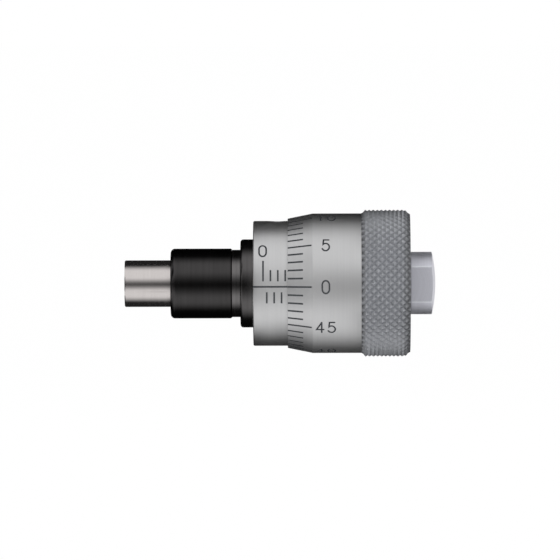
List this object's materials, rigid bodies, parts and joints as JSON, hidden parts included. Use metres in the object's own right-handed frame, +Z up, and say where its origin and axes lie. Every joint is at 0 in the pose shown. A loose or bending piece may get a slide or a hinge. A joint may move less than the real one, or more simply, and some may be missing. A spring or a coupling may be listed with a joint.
{
  "type": "micrometer head",
  "caption": "Micrometer head with a plain black clamping stem, a graduated satin sleeve, a bevelled thimble, a diamond-knurled grip and a domed cap nut; turning the thimble feeds the spindle.",
  "frame": {"origin": "on the spindle axis, in the front face of the flange that seats against a bracket", "axes": "+X runs along the spindle axis from the measuring face to the cap nut, +Z is up with the spanner hole on top, and the index line faces -Y"},
  "size_m": [0.0423, 0.02, 0.02],
  "materials": {
    "black_steel": "satin black oxide",
    "satin_chrome": "satin",
    "knurled_chrome": "satin, knurled",
    "nut_chrome": "turned satin",
    "ground_steel": "fine ground",
    "plain_steel": "turned",
    "mark_paint": "black filled marks"
  },
  "bodies": {
    "stem": {"stem_body": "black_steel", "graduated_sleeve": "satin_chrome", "adjusting_nut": "plain_steel"},
    "feed": {"lock_washer": "plain_steel"},
    "thimble": {"spindle": "ground_steel", "thimble": "satin_chrome", "knurled_grip": "knurled_chrome", "cap_nut": "nut_chrome"}
  },
  "joints": [
    {"name": "spindle_feed", "type": "slide", "parent": "stem", "child": "feed", "axis": [1, 0, 0], "range_m": [-0.003, 0.0035]},
    {"name": "thimble_turn", "type": "hinge", "parent": "feed", "child": "thimble", "pos_m": [0, 0, 0], "axis": [1, 0, 0], "range_deg": [-2160, 2520]}
  ],
  "couplings": [
    {"joint": "thimble_turn", "follows": "spindle_feed", "rad_per_m": 12566}
  ]
}
